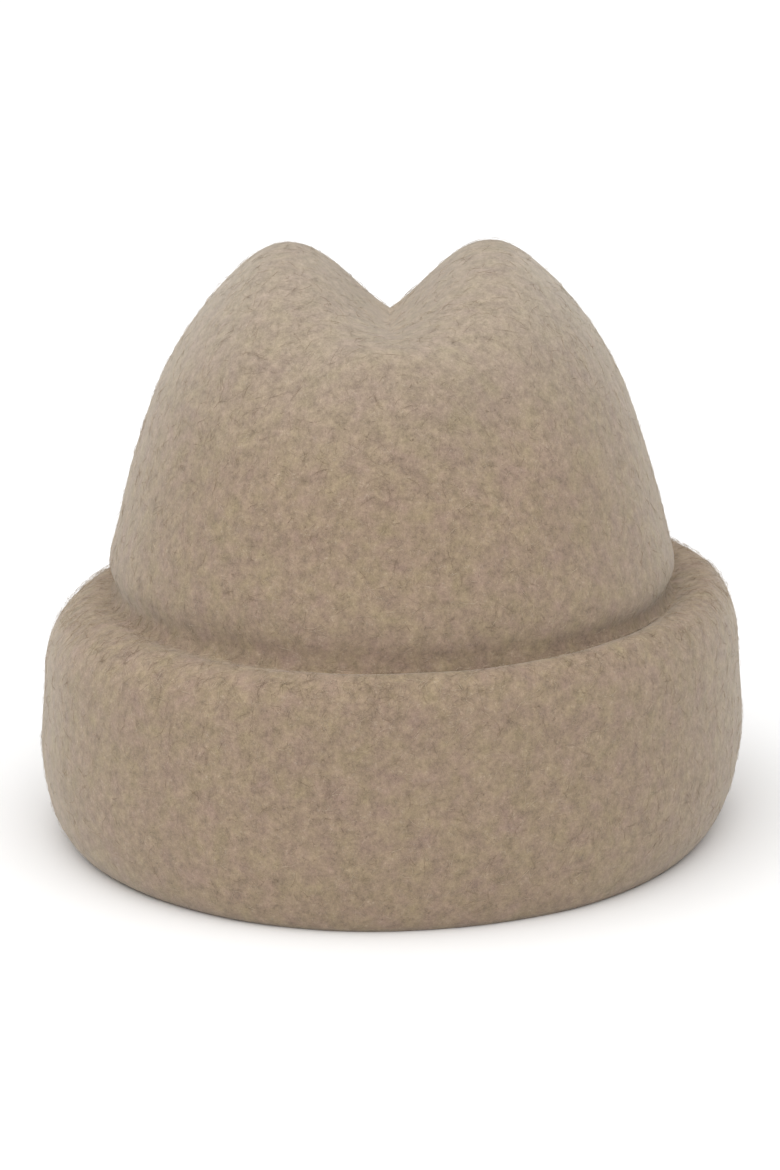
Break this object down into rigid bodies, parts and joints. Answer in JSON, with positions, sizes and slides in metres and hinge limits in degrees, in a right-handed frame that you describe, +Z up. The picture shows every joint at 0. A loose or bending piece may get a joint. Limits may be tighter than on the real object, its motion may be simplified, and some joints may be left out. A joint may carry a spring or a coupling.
{
  "type": "felt hat",
  "caption": "Soft wool felt hat with a creased, lightly pinched crown and a deep turned-up cuff, open below for the head.",
  "frame": {"origin": "under the middle of the hat's box, on the surface that its rim rests on", "axes": "+Z up through the crown, -Y towards the front of the hat, +X to the right as seen from the front"},
  "size_m": [0.2202, 0.2356, 0.1823],
  "materials": {
    "felt": "matt heathered wool felt, slightly fuzzy"
  },
  "bodies": {
    "root": {"felt_body": "felt"}
  },
  "joints": []
}
